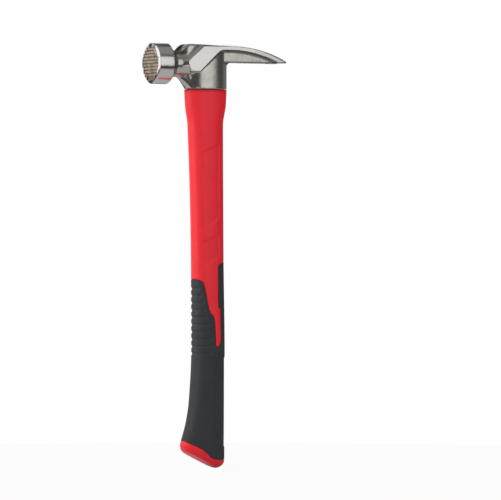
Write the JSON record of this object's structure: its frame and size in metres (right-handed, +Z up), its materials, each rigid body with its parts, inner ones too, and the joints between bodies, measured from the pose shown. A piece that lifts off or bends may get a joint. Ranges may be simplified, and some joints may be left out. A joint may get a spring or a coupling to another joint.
{
  "type": "milled face hammer",
  "caption": "Framing hammer with a milled round face, magnetic nail starter, straight rip claw, oval eye and a moulded fibreglass handle with a rubber grip.",
  "frame": {"origin": "on the flat top of the head, on the axis of the handle", "axes": "+Z up out of the head's flat top, so the handle runs along -Z; the striking face looks along -X, the claw reaches along +X, and Y = 0 is the plane of symmetry"},
  "size_m": [0.1404, 0.0392, 0.4057],
  "materials": {
    "head_steel": "forged and ground steel, satin with polished cheeks",
    "magnet": "plated disc magnet",
    "resin": "cast epoxy",
    "fibreglass": "pultruded fibreglass",
    "jacket_red": "satin moulded polymer",
    "grip_rubber": "fine matt overmoulded rubber"
  },
  "bodies": {
    "root": {"hammer_head": "head_steel", "nail_magnet": "magnet", "eye_resin": "resin", "fiberglass_core": "fibreglass", "handle_jacket": "jacket_red", "grip_sleeve": "grip_rubber"}
  },
  "joints": []
}
